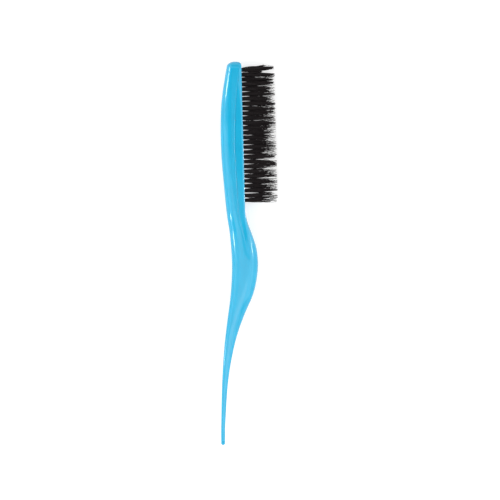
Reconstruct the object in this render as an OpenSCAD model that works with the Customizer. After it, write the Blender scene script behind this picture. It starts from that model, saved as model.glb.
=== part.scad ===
// Teasing brush with a rat-tail handle, lying on its side.
// +X is the way the bristles point, +Y runs from the tail to the head, +Z is across the brush.

/* [Overall] */
// Length from the tip of the tail to the end of the head
brush_len = 222.25; // [221:0.25:226]
// Width of the head
body_w = 14; // [13:0.5:18]

/* [Tail] */
// Diameter of the round tail end
tail_d = 2.3; // [2:0.1:2.6]
// Length of the straight round stretch, with its ball tip
tail_pin_len = 10; // [6:1:12]

/* [Head] */
// Lean of the bristle face towards the back at the head end, in degrees
face_tilt = 1.5; // [0:0.1:2.5]
// Distance from the back of the brush to the bristle face at the heel
heel_depth = 14.2; // [13.5:0.05:15]
// Width of the flat land along each side of the head
land_w = 0.9; // [0.4:0.1:1.5]
// Rounding along the rim of the bristle face
rim_r = 0.55; // [0.3:0.05:0.8]

/* [Tufts] */
// Number of tuft stations along the head
stations = 28; // [12:1:28]
// Distance between stations
pitch = 2.8; // [2.6:0.05:2.8]
// Distance from the end of the head to the first station
first_tuft = 4.75; // [4.6:0.05:6]
// Distance between the three rows
row_pitch = 3.6; // [3:0.1:3.8]
// Diameter of a tuft hole
hole_d = 2; // [1.6:0.05:2]
// Depth of a tuft hole
hole_depth = 4.5; // [4:0.1:5]
// Length of the bristles outside the head
bristle_len = 19.2; // [12:0.1:24]
// Diameter of a tuft at its tips
tip_d = 2.65; // [2:0.05:2.7]
// Outward lean of the two outer rows, in degrees
splay = 5; // [0:0.5:6]

/* [Anchors] */
// Width of an anchor plate, which bites into the plastic on both sides of the hole
anchor_w = 2.6; // [2.4:0.1:2.8]
// Height of an anchor plate
anchor_h = 1.6; // [1:0.1:2]
// Thickness of an anchor plate
anchor_t = 0.35; // [0.2:0.05:0.5]
// Thickness of the folded bristles under an anchor plate
fold = 0.6; // [0.4:0.1:1]

/* [Hidden] */
half_w = body_w / 2;
tail_r = tail_d / 2;
tail_x = 1.5;            // distance of the tail's axis from the back of the brush
inset = 0.03;            // the skin starts this far inside the round tail end
slack = 0.02;            // gap between a bundle and the wall of its hole
heel_y = 139;            // where the flat bristle face begins
grip_y = 118;            // where the oval grip begins to turn into the head
dome_len = 3.25;         // length of the rounded end in side view
nose_len = 5;            // length of the rounded end in plan view
mid_x = 7.9;             // the end of the head closes around this depth
ring_gap = 3;            // distance between the rings of the skin

// Outlines, as [distance from the tail tip, value] knots of smooth curves
back_line = [[tail_pin_len, tail_x - tail_r + inset], [34, 0.85], [56, 2.1], [72, 3.9], [88, 5.9],
    [105, 6.6], [121, 5.5], [134, 3.6], [150, 1.95], [168, 0.45], [184, 0], [197, 0.35], [207, 1.5],
    [219, 3.45]];
front_line = [[tail_pin_len, tail_x + tail_r - inset], [34, 4.15], [50, 6.45], [64, 9.75], [76, 14.05],
    [87, 18.8], [96, 20.95], [105, 21.75], [114, 20.85], [122, 18.35], [129, 15.75], [135, 14.4],
    [heel_y, heel_depth]];
half_width = [[tail_pin_len, tail_r - inset], [34, 1.65], [56, 0.4 * half_w], [72, 0.63 * half_w],
    [88, 0.83 * half_w], [105, 0.93 * half_w], [121, 0.935 * half_w], [134, 0.95 * half_w],
    [146, 0.975 * half_w], [158, half_w], [230, half_w]];
// Depth of the side of the head, from the bristle face back to the land
side_depth = [[100, 5.2], [158, 5.3], [176, 5.2], [193, 4.5], [207, 3.1], [216, 1.8], [226, 1]];

rows = [-1, 0, 1];
tuft_nodes = [for (i = [1 : stations]) str("bristle_tufts_", i < 10 ? "0" : "", i)];

// Smooth curve through a list of knots
function stretch(k, y) = max([for (i = [0 : len(k) - 2]) if (i == 0 || k[i][0] <= y) i]);
function slope(k, i) = let (a = max(i - 1, 0), b = min(i + 1, len(k) - 1))
    (k[b][1] - k[a][1]) / (k[b][0] - k[a][0]);
function hermite(p, q, m, n, t) =
    p * (1 + 2 * t) * pow(1 - t, 2) + q * (3 - 2 * t) * t * t + m * t * pow(1 - t, 2) - n * (1 - t) * t * t;
function follow(k, y) = let (i = stretch(k, y), h = k[i + 1][0] - k[i][0])
    hermite(k[i][1], k[i + 1][1], h * slope(k, i), h * slope(k, i + 1), (y - k[i][0]) / h);
function ease(a, b, y) = let (t = min(1, max(0, (y - a) / (b - a)))) t * t * (3 - 2 * t);
// Share of the full size left at y, where the last stretch of the head is rounded off with a power
function closing(y, stretch_len, power) =
    pow(1 - pow(0.985 * max(0, (y - brush_len) / stretch_len + 1), power), 1 / power);

// Bristle face
function face_x(y) = heel_depth - (y - heel_y) * tan(face_tilt);
function station_y(i) = brush_len - first_tuft - (i - 1) * pitch;
reach = face_x(station_y(stations)) + bristle_len * cos(face_tilt) + tip_d / 2 * sin(face_tilt);

// Half outlines of a cross-section, from the front x1 round to the back x0
function head_half(x0, x1, w, depth) =
    let (rim = w - depth * 0.1, r = min(rim_r, depth / 3), back = x1 - depth - land_w)
    concat([[x1, 0], [x1, rim - r], [x1 - r * 0.3, rim - r * 0.3], [x1 - r, rim], [x1 - depth, w]],
        [[back, w]], [for (a = [12 : 11 : 78]) [back - (back - x0) * sin(a), w * cos(a)]],
        [[x0, w * 0.07], [x0, 0]]);
function oval_half(x0, x1, w) =
    [for (a = [0, 30, 42, 54, 80, 90, 100, 111, 122, 133, 144, 154, 164, 172, 180])
        [(x0 + x1) / 2 + (x1 - x0) / 2 * cos(a), w * sin(a)]];
function half_section(y) =
    let (line_x = y < heel_y ? follow(front_line, y) : face_x(y),
        back_x = follow(back_line, min(y, brush_len - dome_len)),
        x0 = mid_x - (mid_x - back_x) * closing(y, dome_len, 2),
        x1 = mid_x + (line_x - mid_x) * closing(y, dome_len, 3),
        w = min(half_w, follow(half_width, y)) * closing(y, nose_len, 2.6),
        depth = min(follow(side_depth, y), (x1 - x0) * 0.4), s = ease(grip_y, heel_y, y))
    s * head_half(x0, x1, w, depth) + (1 - s) * oval_half(x0, x1, w);
function ring(y) = let (h = half_section(y), n = len(h))
    concat([for (p = h) [p[0], y, p[1]]], [for (i = [n - 2 : -1 : 1]) [h[i][0], y, -h[i][1]]]);

ring_ys = concat([for (y = [tail_pin_len : ring_gap : brush_len - nose_len - 1]) y],
    [for (a = [0 : 10 : 90]) brush_len - nose_len + nose_len * sin(a)]);

// Closed skin over a list of rings that have the same number of points
module skin(rings) {
    n = len(rings[0]);
    last = (len(rings) - 1) * n;
    polyhedron(points = [for (r = rings) each r], faces = concat(
        [[for (i = [n - 1 : -1 : 0]) i]], [[for (i = [0 : n - 1]) last + i]],
        [for (j = [0 : n : last - n]) for (i = [0 : n - 1]) let (a = j + i, b = j + (i + 1) % n)
            each [[a, b, a + n], [b, b + n, a + n]]]));
}

// Places a shape at a tuft hole: its origin is in the mouth and +Z points out of the head
module at_hole(i, row)
    translate([face_x(station_y(i)), station_y(i), row * row_pitch]) rotate([0, 90, face_tilt]) children();

// Flat plate across a tuft hole
module anchor_plate(width)
    translate([-width / 2, -anchor_t / 2, fold - hole_depth]) cube([width, anchor_t, anchor_h]);

// Moves the brush so that the middle of its box stands on the origin
module placed() translate([-reach / 2, -brush_len / 2, half_w]) children();

// Handle and head, moulded in one piece, with the tuft holes
module brush_body() placed() color([0.17, 0.68, 0.86]) difference() {
    union() {
        skin([for (y = ring_ys) ring(y)]);
        translate([tail_x, tail_r, 0]) rotate([-90, 0, 0]) {
            sphere(r = tail_r, $fn = 48);
            cylinder(r = tail_r, h = tail_pin_len - tail_r, $fn = 48);
        }
    }
    for (i = [1 : stations]) for (row = rows) at_hole(i, row) {
        translate([0, 0, -hole_depth]) cylinder(d = hole_d, h = hole_depth + 1, $fn = 32);
        anchor_plate(anchor_w);
    }
}

// One bundle of bristles, folded under its anchor and fanning out above the face
module tuft(row) {
    lip = 0.3;
    root_r = hole_d / 2 - slack;
    difference() {
        translate([0, 0, -hole_depth]) cylinder(r = root_r, h = hole_depth + lip, $fn = 32);
        anchor_plate(hole_d + 1);
    }
    rotate([0, -row * splay, 0]) cylinder(r1 = root_r - slack, r2 = tip_d / 2, h = bristle_len, $fn = 32);
}

// The three bundles abreast at one station, counted from the head end
module tuft_station(i) placed() color([0.09, 0.085, 0.09])
    for (row = rows) at_hole(i, row) tuft(row);

// The anchor plates of one row
module anchor_row(row) placed() color([0.75, 0.72, 0.66])
    for (i = [1 : stations]) at_hole(i, row) anchor_plate(anchor_w);

brush_body();
for (i = [1 : stations]) tuft_station(i);
anchor_row(-1);  // anchors_left
anchor_row(0);  // anchors_centre
anchor_row(1);  // anchors_right
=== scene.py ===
"""Teasing brush with a rat-tail handle, lying on its side on a pale lit table.

Lengths inside the builders are in millimetres, in the brush's own frame: x from the back of the head to the
bristle tips, y from the tip of the tail to the head end, z across the brush from its middle plane. place()
turns them into the frame of the CAD model, in metres.
"""
import math
import random

import bmesh
import bpy
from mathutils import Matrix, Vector


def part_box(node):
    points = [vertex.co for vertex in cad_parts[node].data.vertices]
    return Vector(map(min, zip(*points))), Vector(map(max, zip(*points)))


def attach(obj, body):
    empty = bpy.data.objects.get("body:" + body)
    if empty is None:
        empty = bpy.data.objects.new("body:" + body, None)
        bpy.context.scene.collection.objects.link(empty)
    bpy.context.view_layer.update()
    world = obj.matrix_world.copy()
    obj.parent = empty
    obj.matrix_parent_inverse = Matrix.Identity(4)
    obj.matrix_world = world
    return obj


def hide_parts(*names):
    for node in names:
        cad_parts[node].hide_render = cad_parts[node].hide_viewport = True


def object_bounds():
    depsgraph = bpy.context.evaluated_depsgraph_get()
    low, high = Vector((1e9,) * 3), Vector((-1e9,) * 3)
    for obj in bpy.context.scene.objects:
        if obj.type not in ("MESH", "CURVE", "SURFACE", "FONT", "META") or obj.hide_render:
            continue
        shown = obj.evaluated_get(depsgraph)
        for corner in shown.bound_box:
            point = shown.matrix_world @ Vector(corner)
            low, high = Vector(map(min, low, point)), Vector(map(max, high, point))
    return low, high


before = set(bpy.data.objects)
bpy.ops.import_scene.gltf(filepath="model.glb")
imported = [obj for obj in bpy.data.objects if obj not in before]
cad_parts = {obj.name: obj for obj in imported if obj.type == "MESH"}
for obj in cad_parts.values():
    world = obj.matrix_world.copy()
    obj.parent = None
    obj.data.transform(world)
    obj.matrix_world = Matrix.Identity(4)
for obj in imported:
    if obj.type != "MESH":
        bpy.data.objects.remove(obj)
cad_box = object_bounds()

MM = 0.001
TUFT_NODES = sorted(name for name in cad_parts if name.startswith("bristle_tufts_"))
ANCHOR_NODES = sorted(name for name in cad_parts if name.startswith("anchors_"))

# The frame gives the places: the body's box holds the tail tip, the head end and the two sides.
body_low, body_high = (Vector(corner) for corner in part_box("brush_body"))
BRUSH_LEN = (body_high.y - body_low.y) / MM
HALF_W = (body_high.z - body_low.z) / MM / 2
MIDDLE = Vector((body_low.x, body_low.y, (body_low.z + body_high.z) / 2))
STATIONS = len(TUFT_NODES)


def station_middle(node):
    low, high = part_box(node)
    return ((low[1] + high[1]) / 2 - body_low.y) / MM


STATION_PITCH = (station_middle(TUFT_NODES[0]) - station_middle(TUFT_NODES[-1])) / (STATIONS - 1)

# Body
TAIL_R = 1.15
TAIL_X = 1.5
TAIL_PIN = 10.0
GRIP_Y = 108.0  # the oval grip begins to turn into the head
HEEL_Y = 139.0  # the flat bristle face begins
HEEL_DEPTH = 14.2
FACE_TILT = math.radians(1.5)
LAND_W = 0.9
RING_GAP = 1.0

# Rounded end of the head: its lengths in side and plan view, the depth it closes around, and the powers of
# its curves on the back, the bristle face and the sides
DOME_LEN, NOSE_LEN = 3.25, 5.0
MID_X = 7.9
BACK_POWER, FACE_POWER, NOSE_POWER = 2, 3, 2.6

# Outlines, as knots of smooth curves: distance from the tail tip, and value. The side depth runs from the
# bristle face back to the land.
BACK_LINE = [(10, 0.35), (34, 0.85), (56, 2.1), (72, 3.9), (88, 5.9), (105, 6.6), (121, 5.5),
             (134, 3.6), (150, 1.95), (168, 0.45), (184, 0), (197, 0.35), (207, 1.5), (219, 3.45)]
FRONT_LINE = [(10, 2.65), (34, 4.15), (50, 6.45), (64, 9.75), (76, 14.05), (87, 18.8), (96, 20.95),
              (105, 21.75), (114, 20.85), (122, 18.35), (129, 15.75), (135, 14.4), (139, 14.2)]
WIDTH_LINE = [(10, 1.12), (34, 1.65), (56, 2.8), (72, 4.4), (88, 5.8), (105, 6.5), (121, 6.55),
              (134, 6.65), (146, 6.82), (158, 6.94), (172, 6.99), (188, 7), (230, 7)]
SIDE_DEPTH = [(90, 6.6), (118, 6), (139, 5.2), (158, 5.3), (176, 5.2), (193, 4.5), (207, 3.1), (216, 1.8),
              (226, 1)]

# Edges of the side panel where it is deepest: distance from the edge, and drop. The rim runs from the bristle
# face to the panel, and the groove from the panel up to the land.
RIM = [(0.0, 0.7), (0.05, 0.52), (0.14, 0.4), (0.28, 0.31), (0.75, 0.1), (0.92, 0.03)]
RIM_W = 1.1
RIM_SIZE = [(139, 1), (190, 1), (206, 1.4), (230, 1.4)]  # knots of its growth along the head
MAX_RIM_SHARE = 0.6   # the rim's width, at most, as a share of the panel's depth
GROOVE = [(0.95, 0.35), (0.7, 0.4), (0.5, 0.5), (0.34, 0.53), (0.22, 0.46), (0.13, 0.2), (0.03, 0.05),
          (-0.1, 0.012)]
PANEL_DEPTH = 5.0
PANEL_LEAN = 0.13
MAX_SIDE_SHARE = 0.4  # the panel's depth, at most, as a share of the head's
BACK_EDGE = 4.6       # the rounded back begins this far behind the bristle face, and the land's width more
MIN_BACK_SHARE = 0.35  # the rounded back's depth, at least, as a share of the head's

# Tufts
ROWS = (-1, 0, 1)
ROW_PITCH = 3.6
HOLE_R = 1.0
HOLE_DEPTH = 4.5
LEAD_IN = 0.16        # the hole begins to widen this far below its mouth
DRILL_OUT, DRILL_FLARE = 0.6, 0.62  # how far the drill stands out of the hole, and how much wider it is there
FIRST_TUFT = 4.75
BRISTLE_LEN = 19.2
SPLAY = math.radians(5)

# Filaments: thick ones gathered in clumps, and thin wisps that reach further
FILAMENTS, WISPS = 46, 11
FILAMENT_RADII, WISP_RADII = (0.095, 0.12), (0.075, 0.11)
FILAMENT_SWAY, WISP_SWAY = 0.1, 0.25
FILAMENT_PULL, WISP_PULL = 0.6, 0.65
FILAMENT_SIDES, FILAMENT_STEPS = 5, 8
TIP_TAPER = 0.35
GOLDEN_ANGLE = 2.39996
BUNDLE_R = 0.92
WAIST = 0.9            # share of the bundle's radius that is left inside the hole
ROOT_DEPTH = 1.4       # the filaments start this deep in the hole
FAN = (2.1, 3.1)       # how many times wider a bundle is at its full length, along the head
FAN_ACROSS = 0.7       # the same across the head, as a share of that
FAN_POWER = 1.13       # above 1, the bundle opens late
PULL_POWER = 3         # above 1, the filaments gather in their clumps late
LEAN_SPREAD = 0.12     # spread of the stations' leans along the head
ROW_LEAN_SPREAD = 0.3  # and of their bundles' leans around that
POINTED_SHARE = 0.6    # share of the stations that end in a point
WISP_PLACES, WISP_REACH = 4, 2.3
SHORTEST, LONGEST = 0.56, 0.995
SEED = 3400


def place(x, y, z):
    return (MIDDLE.x + x * MM, MIDDLE.y + y * MM, MIDDLE.z + z * MM)


# ---------------------------------------------------------------- curves

def follow(knots, y):
    """Smooth curve through the knots, the same as in the CAD source."""
    last = len(knots) - 1

    def slope(i):
        a, b = max(i - 1, 0), min(i + 1, last)
        return (knots[b][1] - knots[a][1]) / (knots[b][0] - knots[a][0])

    i = max([0] + [k for k in range(last) if knots[k][0] <= y])
    (y0, p), (y1, q) = knots[i], knots[i + 1]
    h = y1 - y0
    t = min(1.0, max(0.0, (y - y0) / h))
    m, n = h * slope(i), h * slope(i + 1)
    return (p * (1 + 2 * t) * (1 - t) ** 2 + q * (3 - 2 * t) * t * t
            + m * t * (1 - t) ** 2 - n * (1 - t) * t * t)


def ease(a, b, y):
    t = min(1.0, max(0.0, (y - a) / (b - a)))
    return t * t * (3 - 2 * t)


def closing(y, stretch, power):
    """Share of the full size left at y, where the last stretch of the head is rounded off."""
    t = min(0.9995, max(0.0, (y - BRUSH_LEN) / stretch + 1))
    return (1 - t ** power) ** (1 / power)


def face_x(y):
    return HEEL_DEPTH - (y - HEEL_Y) * math.tan(FACE_TILT)


# ---------------------------------------------------------------- body

FACE_STEPS, PANEL_STEPS, LAND_STEPS, BACK_STEPS = 4, 3, 3, 26
RIM_STEPS = len(RIM)
SIDE_STEPS = PANEL_STEPS + len(GROOVE)


def head_half(x0, x1, w, depth, rim_size):
    """Half outline of the head: bristle face, rim, side panel, groove, land and rounded back."""
    scale = min(1, depth / PANEL_DEPTH)
    rim_size = min(rim_size, MAX_RIM_SHARE * depth / RIM_W)
    rim = w - depth * PANEL_LEAN
    rim_x, edge_x = x1 - RIM_W * rim_size, x1 - depth
    foot_x, foot_z = edge_x + GROOVE[0][0] * scale, w - GROOVE[0][1] * scale
    back = max(x1 - max(depth, BACK_EDGE) - LAND_W, x0 + MIN_BACK_SHARE * (x1 - x0))
    points = [(x1, (rim - RIM[0][1] * rim_size) * i / FACE_STEPS) for i in range(FACE_STEPS)]
    points += [(x1 - off * rim_size, rim - drop * rim_size) for off, drop in RIM]
    points += [(rim_x + (foot_x - rim_x) * t, rim + (foot_z - rim) * t)
               for t in (i / PANEL_STEPS for i in range(PANEL_STEPS))]
    points += [(edge_x + off * scale, w - drop * scale) for off, drop in GROOVE]
    land_x = edge_x - 0.2 * scale
    points += [(land_x + (back - land_x) * i / LAND_STEPS, w) for i in range(LAND_STEPS)]
    points += [(back - (back - x0) * math.sin(a), w * math.cos(a))
               for a in (math.pi / 2 * i / BACK_STEPS for i in range(BACK_STEPS + 1))]
    return points


def oval_half(x0, x1, w):
    """Half outline of the grip and tail, with as many points in each stretch as the head's."""
    angles = [50 * i / FACE_STEPS for i in range(FACE_STEPS)]
    angles += [50 + 14 * i / RIM_STEPS for i in range(RIM_STEPS)]
    angles += [64 + 20 * i / SIDE_STEPS for i in range(SIDE_STEPS)]
    angles += [84 + 10 * i / LAND_STEPS for i in range(LAND_STEPS)]
    angles += [94 + 86 * i / BACK_STEPS for i in range(BACK_STEPS + 1)]
    return [((x0 + x1) / 2 + (x1 - x0) / 2 * math.cos(math.radians(a)), w * math.sin(math.radians(a)))
            for a in angles]


def half_section(y):
    if y < TAIL_R:
        r = math.sqrt(max(TAIL_R ** 2 - (TAIL_R - y) ** 2, 1e-6))
        return oval_half(TAIL_X - r, TAIL_X + r, r)
    line_y = max(y, TAIL_PIN)
    back_x = follow(BACK_LINE, min(line_y, BRUSH_LEN - DOME_LEN))
    line_x = face_x(y) if y > HEEL_Y else follow(FRONT_LINE, line_y)
    x0 = MID_X - (MID_X - back_x) * closing(y, DOME_LEN, BACK_POWER)
    x1 = MID_X + (line_x - MID_X) * closing(y, DOME_LEN, FACE_POWER)
    w = min(HALF_W, follow(WIDTH_LINE, line_y)) * closing(y, NOSE_LEN, NOSE_POWER)
    depth = min(follow(SIDE_DEPTH, line_y), (x1 - x0) * MAX_SIDE_SHARE)
    head, oval = head_half(x0, x1, w, depth, follow(RIM_SIZE, y)), oval_half(x0, x1, w)
    s = ease(GRIP_Y, HEEL_Y, y)
    return [(s * hx + (1 - s) * ox, s * hz + (1 - s) * oz) for (hx, hz), (ox, oz) in zip(head, oval)]


def ring_places():
    """Places of the rings along the brush, close together in the tail's ball and the head's rounded end."""
    ys = [TAIL_R * (1 - math.cos(math.radians(a))) for a in range(8, 90, 9)]
    ys += [TAIL_R + 1.5 * i for i in range(21)]
    y = ys[-1]
    while y < BRUSH_LEN - NOSE_LEN - RING_GAP:
        y += RING_GAP
        ys.append(y)
    start = ys[-1]
    ys += [start + (BRUSH_LEN - start) * math.sin(math.radians(a)) for a in range(5, 91, 5)]
    return ys


def loft(rings):
    """Closed mesh over rings with the same number of points; each end closes on a middle point."""
    bm = bmesh.new()
    rows = [[bm.verts.new(place(*p)) for p in ring] for ring in rings]
    n = len(rows[0])
    for below, above in zip(rows, rows[1:]):
        for i in range(n):
            bm.faces.new((below[i], below[(i + 1) % n], above[(i + 1) % n], above[i]))
    for row, flip in ((rows[0], True), (rows[-1], False)):
        centre = bm.verts.new(sum((v.co for v in row), Vector()) / n)
        for i in range(n):
            a, b = row[i], row[(i + 1) % n]
            bm.faces.new((b, a, centre) if flip else (a, b, centre))
    bmesh.ops.recalc_face_normals(bm, faces=bm.faces)
    return bm


def mesh_object(bm, name):
    mesh = bpy.data.meshes.new(name)
    bm.to_mesh(mesh)
    bm.free()
    piece = bpy.data.objects.new(name, mesh)
    bpy.context.scene.collection.objects.link(piece)
    return piece


def hole_frame(i, row):
    """Mouth of a tuft hole, the way out of the head, and the two directions across, all in millimetres."""
    y = BRUSH_LEN - FIRST_TUFT - i * STATION_PITCH
    mouth = Vector((face_x(y), y, row * ROW_PITCH))
    out = Vector((math.cos(FACE_TILT), math.sin(FACE_TILT), 0))
    along = Vector((-math.sin(FACE_TILT), math.cos(FACE_TILT), 0))
    return mouth, out, along, Vector((0, 0, 1))


def hole_cutters():
    """One mesh with a drill for every tuft hole: a bore with a small lead-in at its mouth."""
    profile = [(-HOLE_DEPTH, HOLE_R), (-LEAD_IN, HOLE_R), (DRILL_OUT, HOLE_R + DRILL_FLARE)]
    sides = 24
    angles = [math.tau * k / sides for k in range(sides)]
    bm = bmesh.new()
    for i in range(STATIONS):
        for row in ROWS:
            mouth, out, along, across = hole_frame(i, row)
            spokes = [along * math.cos(a) + across * math.sin(a) for a in angles]
            rows = [[bm.verts.new(place(*(mouth + out * s + spoke * r))) for spoke in spokes]
                    for s, r in profile]
            for below, above in zip(rows, rows[1:]):
                for k in range(sides):
                    bm.faces.new((below[k], below[(k + 1) % sides], above[(k + 1) % sides], above[k]))
            bm.faces.new(rows[0][::-1])
            bm.faces.new(rows[-1])
    bmesh.ops.recalc_face_normals(bm, faces=bm.faces)
    return mesh_object(bm, "hole_cutters")


def apply_modifiers(piece):
    bpy.context.view_layer.update()
    depsgraph = bpy.context.evaluated_depsgraph_get()
    mesh = bpy.data.meshes.new_from_object(piece.evaluated_get(depsgraph), depsgraph=depsgraph)
    piece.modifiers.clear()
    piece.data = mesh


def build_body():
    rings = []
    for y in ring_places():
        half = half_section(y)
        rings.append([(x, y, z) for x, z in half] + [(x, y, -z) for x, z in half[-2:0:-1]])
    body = mesh_object(loft(rings), "moulded_body")
    cutters = hole_cutters()
    drill = body.modifiers.new("drill", "BOOLEAN")
    drill.operation = "DIFFERENCE"
    drill.solver = "EXACT"
    drill.object = cutters
    apply_modifiers(body)
    bpy.data.objects.remove(cutters, do_unlink=True)
    body.data.shade_smooth()
    weights = body.modifiers.new("weights", "WEIGHTED_NORMAL")
    weights.weight = 60
    return body


# ---------------------------------------------------------------- bristles

def filament(bm, path, radius):
    """A closed, tapered tube along a list of points, with a blunt tip."""
    sides = FILAMENT_SIDES
    rows = []
    for k, point in enumerate(path):
        ahead = path[min(k + 1, len(path) - 1)] - path[max(k - 1, 0)]
        side = ahead.cross(Vector((0, 0, 1))).normalized()
        up = side.cross(ahead).normalized()
        r = radius * (1 - TIP_TAPER * (k / (len(path) - 1)) ** 2)
        rows.append([bm.verts.new(place(*(point + (side * math.cos(a) + up * math.sin(a)) * r)))
                     for a in (math.tau * i / sides for i in range(sides))])
    for below, above in zip(rows, rows[1:]):
        for i in range(sides):
            bm.faces.new((below[i], above[i], above[(i + 1) % sides], below[(i + 1) % sides]))
    end = path[-1] + (path[-1] - path[-2]).normalized() * radius * 0.6
    tip = bm.verts.new(place(*end))
    root = bm.verts.new(place(*path[0]))
    for i in range(sides):
        bm.faces.new((rows[-1][(i + 1) % sides], rows[-1][i], tip))
        bm.faces.new((rows[0][i], rows[0][(i + 1) % sides], root))


def bend(draw, base, tip, pull, length, sway):
    """Path of one filament, as distances out of the head, along it and across: from its root in the hole out
    to its length, with a slight bow and a wave. The tip end is pulled along the head towards its clump."""
    bow = [draw.gauss(0, sway) for _ in range(2)]
    wave = [draw.gauss(0, sway * 0.5) for _ in range(2)]
    points = [(-ROOT_DEPTH, base[0] * WAIST, base[1] * WAIST)]
    for k in range(FILAMENT_STEPS + 1):
        t = k / FILAMENT_STEPS
        share = (t * length / BRISTLE_LEN) ** FAN_POWER
        sides = [base[n] + (tip[n] - base[n]) * share + bow[n] * math.sin(math.pi * t)
                 + wave[n] * math.sin(math.tau * t) for n in range(2)]
        points.append((t * length, sides[0] + pull * t ** PULL_POWER, sides[1]))
    return points


def station_clumps(draw, i, lean):
    """Clumps that the filaments of a station gather in: place along the head, share of the full length that
    the middle of the clump reaches, and how fast the length falls away on both sides of it."""
    if i == 0:
        return [(3.2, 0.74, 0.1), (0.9, 0.95, 0.1), (-1.2, 0.62, 0.08)]
    if i == STATIONS - 1:
        return [(-1.2, 0.76, 0.1), (0.3, 0.7, 0.1), (1.4, 0.66, 0.1)]
    if draw.random() < POINTED_SHARE:
        peak = draw.uniform(-1.1, 1.1)
        return [(peak + lean, draw.uniform(0.92, 1.0), 0.12), (peak + lean, 0.8, 0.12),
                (lean + draw.uniform(-2.4, 2.4), draw.uniform(0.58, 0.7), 0.08)]
    return [(lean + u + draw.gauss(0, 0.3), draw.uniform(0.59, 0.83), 0.07) for u in (-1.9, -0.6, 0.6, 1.9)]


def build_station(i):
    """The three bundles of one station, filament by filament. Lengths, leans and clumps are seeded chance."""
    draw = random.Random(SEED + i)
    bm = bmesh.new()
    lean = {0: 0.9, STATIONS - 1: 0.4}.get(i, draw.gauss(0, LEAN_SPREAD))
    clumps = station_clumps(draw, i, lean)
    wisp_places = [lean + draw.uniform(-WISP_REACH, WISP_REACH) for _ in range(WISP_PLACES)]
    for row in ROWS:
        mouth, out, along, across = hole_frame(i, row)
        row_lean = BRISTLE_LEN * math.tan(SPLAY) * row
        tuft_lean = lean + draw.gauss(0, ROW_LEAN_SPREAD)
        for j in range(FILAMENTS + WISPS):
            wisp = j >= FILAMENTS
            r = BUNDLE_R * math.sqrt(draw.random() if wisp else (j + 0.5) / FILAMENTS)
            a = j * GOLDEN_ANGLE + draw.uniform(-0.2, 0.2)
            base = r * math.cos(a), r * math.sin(a)
            spread = draw.uniform(*FAN)
            tip_u, tip_v = base[0] * spread + tuft_lean, base[1] * spread * FAN_ACROSS + row_lean
            if wisp:
                share = 1 - 0.26 * draw.random() ** 1.4
                pull = WISP_PULL * (draw.choice(wisp_places) - tip_u) + draw.gauss(0, 0.2)
                sway, radius = WISP_SWAY, draw.uniform(*WISP_RADII)
            else:
                near = min(clumps, key=lambda clump: abs(clump[0] - tip_u) - 0.5 * clump[1])
                share = near[1] - near[2] * abs(near[0] - tip_u) + draw.gauss(0, 0.03)
                pull = FILAMENT_PULL * (near[0] - tip_u)
                sway, radius = FILAMENT_SWAY, draw.uniform(*FILAMENT_RADII)
            length = BRISTLE_LEN * min(LONGEST, max(SHORTEST, share))
            points = bend(draw, base, (tip_u, tip_v), pull, length, sway)
            filament(bm, [mouth + out * s + along * u + across * v for s, u, v in points], radius)
    piece = mesh_object(bm, "filaments_%02d" % (i + 1))
    piece.data.shade_smooth()
    return piece


# ---------------------------------------------------------------- materials

class Nodes:
    """Short spellings for building a node material."""

    def __init__(self, name):
        self.material = bpy.data.materials.new(name)
        self.material.use_nodes = True
        self.tree = self.material.node_tree
        self.shader = self.tree.nodes["Principled BSDF"]

    def add(self, kind, **values):
        node = self.tree.nodes.new(kind)
        for key, value in values.items():
            node.inputs[key].default_value = value
        return node

    def link(self, source, target):
        self.tree.links.new(source, target)

    def ramp(self, source, stops):
        node = self.add("ShaderNodeValToRGB")
        ramp = node.color_ramp
        while len(ramp.elements) < len(stops):
            ramp.elements.new(0.5)
        for element, (at, colour) in zip(ramp.elements, stops):
            element.position = at
            element.color = colour
        self.link(source, node.inputs["Fac"])
        return node.outputs["Color"]


def grey(v):
    return (v, v, v, 1)


def plastic_material():
    """Glossy moulded plastic: cyan with a trace of flow mottling, a faint ripple and hairline scratches."""
    m = Nodes("body_plastic")
    place_at = m.add("ShaderNodeTexCoord").outputs["Object"]
    mottle = m.add("ShaderNodeTexNoise", Scale=90.0, Detail=3.0)
    m.link(place_at, mottle.inputs["Vector"])
    cyans = m.ramp(mottle.outputs["Fac"], [(0.3, (0.004, 0.355, 0.585, 1)), (0.7, (0.007, 0.38, 0.615, 1))])
    m.link(cyans, m.shader.inputs["Base Color"])
    stretch = m.add("ShaderNodeMapping")
    stretch.inputs["Scale"].default_value = (2200, 260, 2200)
    stretch.inputs["Rotation"].default_value = (0, 0, 0.35)
    m.link(place_at, stretch.inputs["Vector"])
    scratch = m.add("ShaderNodeTexNoise", Scale=1.0, Detail=2.0)
    m.link(stretch.outputs["Vector"], scratch.inputs["Vector"])
    m.link(m.ramp(scratch.outputs["Fac"], [(0.45, grey(0.08)), (0.8, grey(0.16))]),
           m.shader.inputs["Roughness"])
    ripple = m.add("ShaderNodeTexNoise", Scale=260.0, Detail=2.0)
    m.link(place_at, ripple.inputs["Vector"])
    bump = m.add("ShaderNodeBump", Strength=0.05, Distance=0.0002)
    m.link(ripple.outputs["Fac"], bump.inputs["Height"])
    m.link(bump.outputs["Normal"], m.shader.inputs["Normal"])
    m.shader.inputs["IOR"].default_value = 1.5
    m.shader.inputs["Coat Weight"].default_value = 0.3
    m.shader.inputs["Coat Roughness"].default_value = 0.05
    return m.material


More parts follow.
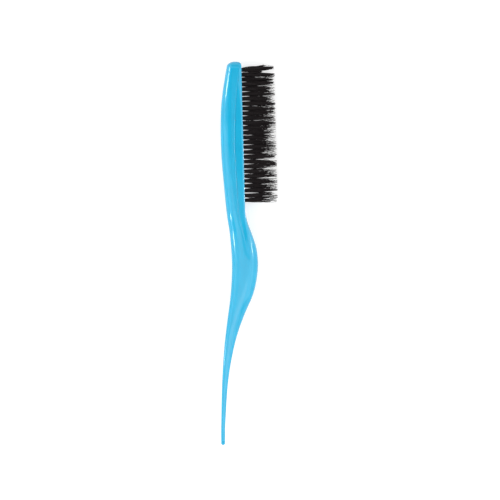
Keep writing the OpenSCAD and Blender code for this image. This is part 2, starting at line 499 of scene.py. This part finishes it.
def nylon_material():
    """Black filament with a soft sheen and slight brown and grey variation from strand to strand."""
    m = Nodes("bristle_nylon")
    place_at = m.add("ShaderNodeTexCoord").outputs["Object"]
    stretch = m.add("ShaderNodeMapping")
    stretch.inputs["Scale"].default_value = (120, 3000, 3000)
    m.link(place_at, stretch.inputs["Vector"])
    strand = m.add("ShaderNodeTexNoise", Scale=1.0, Detail=1.0)
    m.link(stretch.outputs["Vector"], strand.inputs["Vector"])
    blacks = m.ramp(strand.outputs["Fac"],
                    [(0.3, (0.009, 0.0068, 0.0073, 1)), (0.75, (0.022, 0.017, 0.018, 1))])
    m.link(blacks, m.shader.inputs["Base Color"])
    m.link(m.ramp(strand.outputs["Fac"], [(0.3, grey(0.32)), (0.8, grey(0.5))]), m.shader.inputs["Roughness"])
    m.shader.inputs["Specular IOR Level"].default_value = 0.15
    return m.material


def steel_material():
    """Flat drawn wire with fine lines along its width."""
    m = Nodes("anchor_steel")
    place_at = m.add("ShaderNodeTexCoord").outputs["Object"]
    stretch = m.add("ShaderNodeMapping")
    stretch.inputs["Scale"].default_value = (9000, 9000, 300)
    m.link(place_at, stretch.inputs["Vector"])
    lines = m.add("ShaderNodeTexNoise", Scale=1.0, Detail=3.0)
    m.link(stretch.outputs["Vector"], lines.inputs["Vector"])
    m.link(m.ramp(lines.outputs["Fac"], [(0.3, (0.45, 0.43, 0.4, 1)), (0.7, (0.62, 0.6, 0.56, 1))]),
           m.shader.inputs["Base Color"])
    m.link(m.ramp(lines.outputs["Fac"], [(0.3, grey(0.3)), (0.7, grey(0.45))]), m.shader.inputs["Roughness"])
    m.shader.inputs["Metallic"].default_value = 1.0
    return m.material


def table_material():
    """Pale table, lit softly from within as a light table is. Its glow is cut for glossy rays only: a painted
    dark reflection in the brush's edges, standing in for black cards around it."""
    m = Nodes("pale_table")
    place_at = m.add("ShaderNodeTexCoord").outputs["Object"]
    grain = m.add("ShaderNodeTexNoise", Scale=30.0, Detail=2.0)
    m.link(place_at, grain.inputs["Vector"])
    m.link(m.ramp(grain.outputs["Fac"], [(0.3, grey(0.5)), (0.7, grey(0.52))]), m.shader.inputs["Base Color"])
    m.shader.inputs["Roughness"].default_value = 0.7
    m.shader.inputs["Specular IOR Level"].default_value = 0.2
    m.shader.inputs["Emission Color"].default_value = (1, 1, 1, 1)
    # Painted dark reflection: the table glows at 0.6 to the camera and to diffuse light, but only at 0.17 in
    # glossy reflections
    rays = m.add("ShaderNodeLightPath")
    glow_dimmed_in_reflections = m.add("ShaderNodeMapRange", **{"To Min": 0.6, "To Max": 0.17})
    m.link(rays.outputs["Is Glossy Ray"], glow_dimmed_in_reflections.inputs["Value"])
    m.link(glow_dimmed_in_reflections.outputs["Result"], m.shader.inputs["Emission Strength"])
    return m.material


# ---------------------------------------------------------------- stage

# Name, place, the point it faces, size and power
AREA_LIGHTS = [
    # Overhead banks: the long soft shine down the handle and its stepped edge
    ("bank_overhead", (0, -0.42, 1.3), (0, -0.42, 0), (2.6, 0.84), 7.5),
    ("bank_overhead_edge", (0, -0.385, 1.31), (0, -0.385, 0), (2.6, 0.91), 3.3),
    ("bank_low", (0, -0.36, 1.29), (0, -0.36, 0), (1.6, 0.3), 1.4),
    ("bank_head_side", (0, 0.75, 1.3), (0, 0.75, 0), (2.4, 0.6), 3.0),
    # Fills, which shape the body softly
    ("fill_left_low", (-0.75, -0.75, 0.85), (0, 0, 0), (0.8, 0.8), 4.6),
    ("fill_left_high", (-0.75, 0.75, 0.85), (0, 0, 0), (0.8, 0.8), 2.4),
    ("softbox_right", (0.9, 0, 0.55), (0, 0, 0.05), (1.0, 0.6), 2.6),
    # Beside the brush: short bright streaks on the edges of head and grip, and an even shine on the grip
    ("left_head_strip", (-0.5, 0.19, 0.05), (0, 0.1, 0.01), (0.08, 0.09), 0.42),
    ("left_grip_strip", (-0.5, -0.058, 0.04), (0, 0.01, 0.01), (0.02, 0.06), 0.1),
    ("left_grip_bank", (-1.25, -0.02, 0.62), (0, -0.01, 0.01), (0.34, 0.9), 0.75),
    ("right_grip_strip", (0.5, 0.068, 0.085), (0, 0.01, 0.01), (0.056, 0.05), 0.44),
    # Weak banks above the head: the light on its land and its side panel
    ("bank_land", (-0.16, 0.115, 1.3), (-0.16, 0.115, 0), (0.38, 0.12), 0.034),
    ("bank_land_edge", (-0.16, 0.13, 1.31), (-0.16, 0.13, 0), (0.38, 0.16), 0.03),
    ("bank_right_gap", (0.9, 0.26, 1.3), (0.9, 0.26, 0), (0.8, 0.38), 1.04),
]


def area_light(name, at, aim, size, power):
    data = bpy.data.lights.new(name, "AREA")
    data.shape = "RECTANGLE"
    data.size, data.size_y = size
    data.energy = power
    light = bpy.data.objects.new(name, data)
    light.location = at
    light.rotation_euler = (Vector(aim) - Vector(at)).to_track_quat("-Z", "Y").to_euler()
    light.visible_camera = False
    bpy.context.scene.collection.objects.link(light)


def studio_world():
    """Soft surround, brighter towards the horizon than overhead."""
    world = bpy.data.worlds.new("studio")
    world.use_nodes = True
    tree = world.node_tree
    coords = tree.nodes.new("ShaderNodeTexCoord")
    split = tree.nodes.new("ShaderNodeSeparateXYZ")
    ramp = tree.nodes.new("ShaderNodeValToRGB")
    stops = ramp.color_ramp.elements
    stops.new(0.2)
    for stop, (height, brightness) in zip(stops, [(0.0, 1.8), (0.2, 1.0), (0.75, 0.2)]):
        stop.position = height
        stop.color = grey(brightness)
    tree.links.new(coords.outputs["Generated"], split.inputs["Vector"])
    tree.links.new(split.outputs["Z"], ramp.inputs["Fac"])
    tree.links.new(ramp.outputs["Color"], tree.nodes["Background"].inputs["Color"])
    bpy.context.scene.world = world


def build_stage():
    bm = bmesh.new()
    bmesh.ops.create_grid(bm, x_segments=2, y_segments=2, size=2.5)
    table = mesh_object(bm, "table")
    table.location.z = cad_box[0][2]
    table.data.materials.append(table_material())
    studio_world()
    for light in AREA_LIGHTS:
        area_light(*light)


def build_camera():
    """Straight above the brush, with the head at the top of the picture."""
    distance = 1.5
    view_width = 0.2899
    data = bpy.data.cameras.new("camera")
    data.sensor_width = 36
    data.lens = 36 * distance / view_width
    camera = bpy.data.objects.new("camera", data)
    centre = place(17.09, BRUSH_LEN / 2 + 1.97, 0)
    camera.location = (centre[0], centre[1], centre[2] + distance)
    bpy.context.scene.collection.objects.link(camera)
    bpy.context.scene.camera = camera


# ---------------------------------------------------------------- assembly

build_camera()

plastic, nylon, steel = plastic_material(), nylon_material(), steel_material()

body = build_body()
body.data.materials.clear()
body.data.materials.append(plastic)
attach(body, "root")
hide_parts("brush_body")

for index, node in enumerate(TUFT_NODES):
    bundle = build_station(index)
    bundle.data.materials.append(nylon)
    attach(bundle, "root")
    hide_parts(node)

for node in ANCHOR_NODES:
    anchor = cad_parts[node]
    for slot in anchor.material_slots:
        slot.material = steel

build_stage()
bpy.context.scene.view_settings.view_transform = "Standard"
